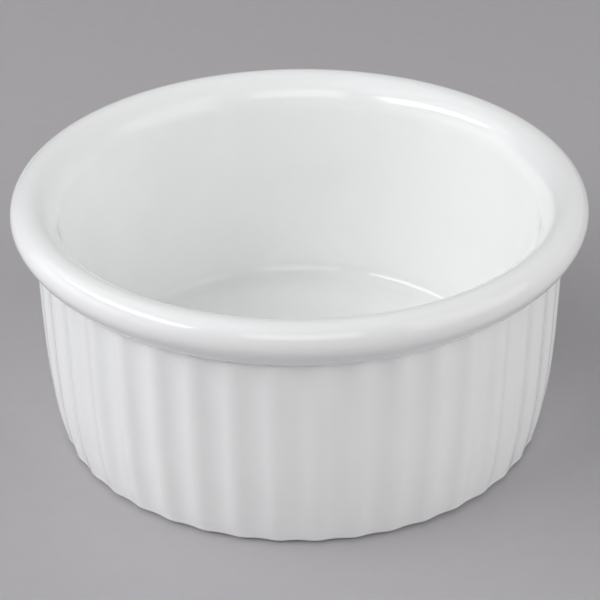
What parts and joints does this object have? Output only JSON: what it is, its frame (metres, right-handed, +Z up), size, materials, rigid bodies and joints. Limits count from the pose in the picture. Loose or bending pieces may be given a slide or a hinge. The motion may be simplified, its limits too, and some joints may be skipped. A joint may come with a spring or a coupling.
{
  "type": "ramekin",
  "caption": "Small round straight-sided baking dish with a rolled rim, an upright reeded wall and a flat foot ring.",
  "frame": {"origin": "centre of the circle that the foot ring stands on", "axes": "+Z up along the axis of the cup, -Y towards the front of the picture, +X to its right"},
  "size_m": [0.089, 0.089, 0.0405],
  "materials": {
    "fired_clay": "bare fired porcelain, fine matte grain",
    "white_glaze": "clear glossy glaze over white porcelain"
  },
  "bodies": {
    "root": {"porcelain_body": "fired_clay", "glaze_coat": "white_glaze", "underside_glaze": "white_glaze"}
  },
  "joints": []
}
